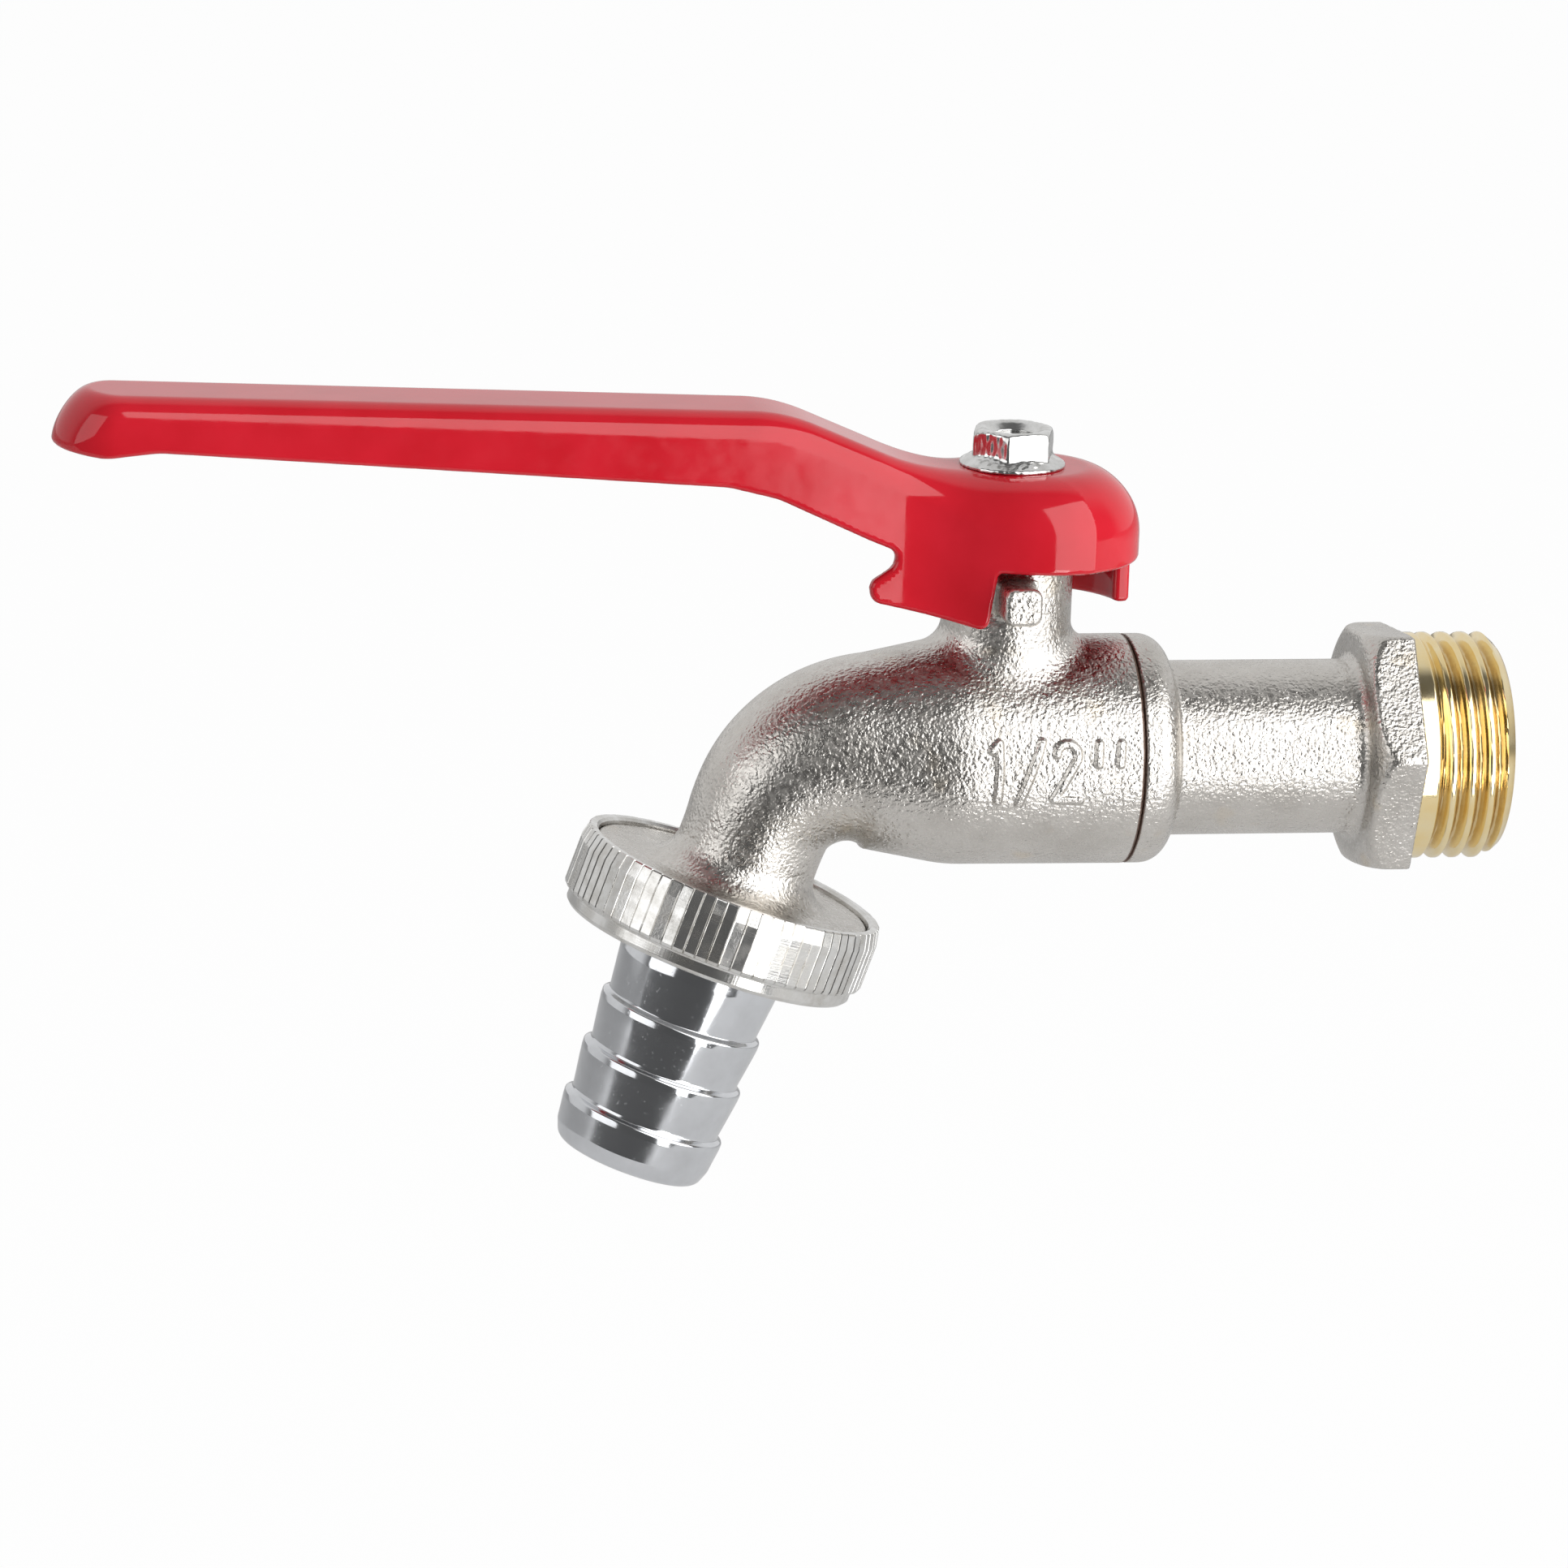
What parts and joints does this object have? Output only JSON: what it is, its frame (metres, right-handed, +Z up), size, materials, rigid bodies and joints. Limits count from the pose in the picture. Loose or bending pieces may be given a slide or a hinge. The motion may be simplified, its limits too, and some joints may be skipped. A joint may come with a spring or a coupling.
{
  "type": "hose tap",
  "caption": "Wall-mounted ball tap with a long pressed lever, a down-turned spout and a ribbed hose tail held by a knurled union nut.",
  "frame": {"origin": "centre of the inlet shoulder, where the inlet thread begins", "axes": "+X along the inlet out of the tap towards the wall, +Z up along the stem, spout towards -X"},
  "size_m": [0.1345, 0.029, 0.0751],
  "materials": {
    "nickel_casting": "shot-blasted brass forging with satin nickel plate, bare brass on the thread",
    "turned_nickel": "turned and knurled brass with bright nickel plate",
    "bright_chrome": "mirror-bright plated tube",
    "chrome_ball": "polished hard chrome",
    "plain_brass": "turned brass",
    "red_enamel": "glossy red dip coat on pressed steel",
    "zinc_steel": "bright zinc plate with small tool marks",
    "white_seal": "waxy white seal plastic",
    "black_rubber": "smooth black rubber"
  },
  "bodies": {
    "tap_body": {"valve_body": "nickel_casting", "inlet_nipple": "nickel_casting", "seat_ring_inlet": "white_seal", "seat_ring_outlet": "white_seal", "thrust_washer": "white_seal"},
    "handle": {"lever": "red_enamel", "lever_nut": "zinc_steel", "stem": "plain_brass", "stem_ring_lower": "black_rubber", "stem_ring_upper": "black_rubber", "ball": "chrome_ball"},
    "tail": {"hose_tail": "bright_chrome", "union_washer": "black_rubber"},
    "nut": {"union_nut": "turned_nickel"}
  },
  "joints": [
    {"name": "lever_turn", "type": "hinge", "parent": "tap_body", "child": "handle", "pos_m": [-0.0375, 0, 0.0196], "axis": [0, 0, -1], "range_deg": [0, 90]},
    {"name": "union_lift", "type": "slide", "parent": "tap_body", "child": "tail", "axis": [-0.3223, 0, -0.9466], "range_m": [0, 0.00272]},
    {"name": "union_nut_turn", "type": "hinge", "parent": "tail", "child": "nut", "pos_m": [-0.0619, 0, -0.0116], "axis": [-0.3223, 0, -0.9466], "range_deg": [0, 540]}
  ],
  "couplings": [
    {"joint": "union_nut_turn", "follows": "union_lift", "rad_per_m": 3463.2}
  ]
}
